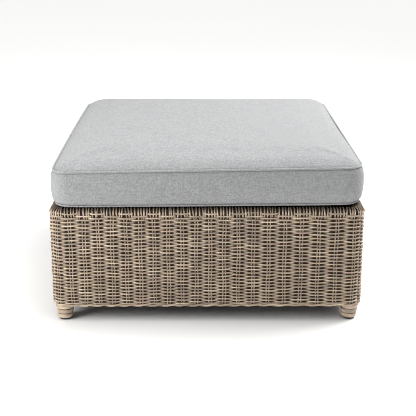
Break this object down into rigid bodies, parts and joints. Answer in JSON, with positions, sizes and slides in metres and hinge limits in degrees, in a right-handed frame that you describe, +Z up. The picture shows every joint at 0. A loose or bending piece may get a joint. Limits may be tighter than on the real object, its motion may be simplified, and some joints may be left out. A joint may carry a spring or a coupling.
{
  "type": "ottoman footstool",
  "caption": "Low square woven-wicker footstool on short wrapped feet, with a loose piped box cushion that lifts off.",
  "frame": {"origin": "on the floor under the middle of the footstool", "axes": "+Z up, front towards -Y, width along X, depth along Y"},
  "size_m": [0.806, 0.856, 0.4378],
  "materials": {
    "wicker": "round woven resin strand in mixed beige greys, matt",
    "wicker_rim": "resin strands wrapped over the rim, matt",
    "wicker_border": "twisted closing strands, matt",
    "frame_tube": "grey-brown powder coat",
    "deck_slat": "grey-brown powder coat",
    "foot_core": "dark moulded plastic",
    "foot_strand": "broad resin strand, matt",
    "glide": "black moulded plastic",
    "cushion_cloth": "light grey heathered outdoor cloth",
    "piping": "piping of the same cloth",
    "foam": "open-cell foam",
    "zip_tape": "woven tape",
    "zip_chain": "nylon coil",
    "zip_metal": "plated die-cast metal"
  },
  "bodies": {
    "base": {"weave_front": "wicker", "rim_border_front": "wicker_rim", "bottom_border_front": "wicker_border", "top_rail_front": "frame_tube", "bottom_rail_front": "frame_tube", "upright_front": "frame_tube", "weave_right": "wicker", "rim_border_right": "wicker_rim", "bottom_border_right": "wicker_border", "top_rail_right": "frame_tube", "bottom_rail_right": "frame_tube", "upright_right": "frame_tube", "weave_back": "wicker", "rim_border_back": "wicker_rim", "bottom_border_back": "wicker_border", "top_rail_back": "frame_tube", "bottom_rail_back": "frame_tube", "upright_back": "frame_tube", "weave_left": "wicker", "rim_border_left": "wicker_rim", "bottom_border_left": "wicker_border", "top_rail_left": "frame_tube", "bottom_rail_left": "frame_tube", "upright_left": "frame_tube", "cross_bar_1": "frame_tube", "cross_bar_2": "frame_tube", "cross_bar_3": "frame_tube", "cross_bar_4": "frame_tube", "slat_1": "deck_slat", "slat_2": "deck_slat", "slat_3": "deck_slat", "slat_4": "deck_slat", "slat_5": "deck_slat", "post_front_left": "frame_tube", "foot_core_front_left": "foot_core", "foot_wrap_front_left": "foot_strand", "glide_front_left": "glide", "post_front_right": "frame_tube", "foot_core_front_right": "foot_core", "foot_wrap_front_right": "foot_strand", "glide_front_right": "glide", "post_back_right": "frame_tube", "foot_core_back_right": "foot_core", "foot_wrap_back_right": "foot_strand", "glide_back_right": "glide", "post_back_left": "frame_tube", "foot_core_back_left": "foot_core", "foot_wrap_back_left": "foot_strand", "glide_back_left": "glide"},
    "cushion": {"cover_top": "cushion_cloth", "cover_band": "cushion_cloth", "cover_bottom": "cushion_cloth", "piping_top": "piping", "piping_bottom": "piping", "foam_core": "foam", "zip_tape": "zip_tape", "zip_chain": "zip_chain"},
    "zip_runner": {"zip_slider": "zip_metal"},
    "zip_tab": {"zip_pull": "zip_metal"}
  },
  "joints": [
    {"name": "cushion_lift", "type": "slide", "parent": "base", "child": "cushion", "axis": [0, 0, 1], "range_m": [0, 0.25]},
    {"name": "zip_run", "type": "slide", "parent": "cushion", "child": "zip_runner", "axis": [-1, 0, 0], "range_m": [0, 0.587]},
    {"name": "zip_tab_swing", "type": "hinge", "parent": "zip_runner", "child": "zip_tab", "pos_m": [0.2936, 0.4263, 0.3603], "axis": [1, 0, 0], "range_deg": [0, 160]}
  ]
}
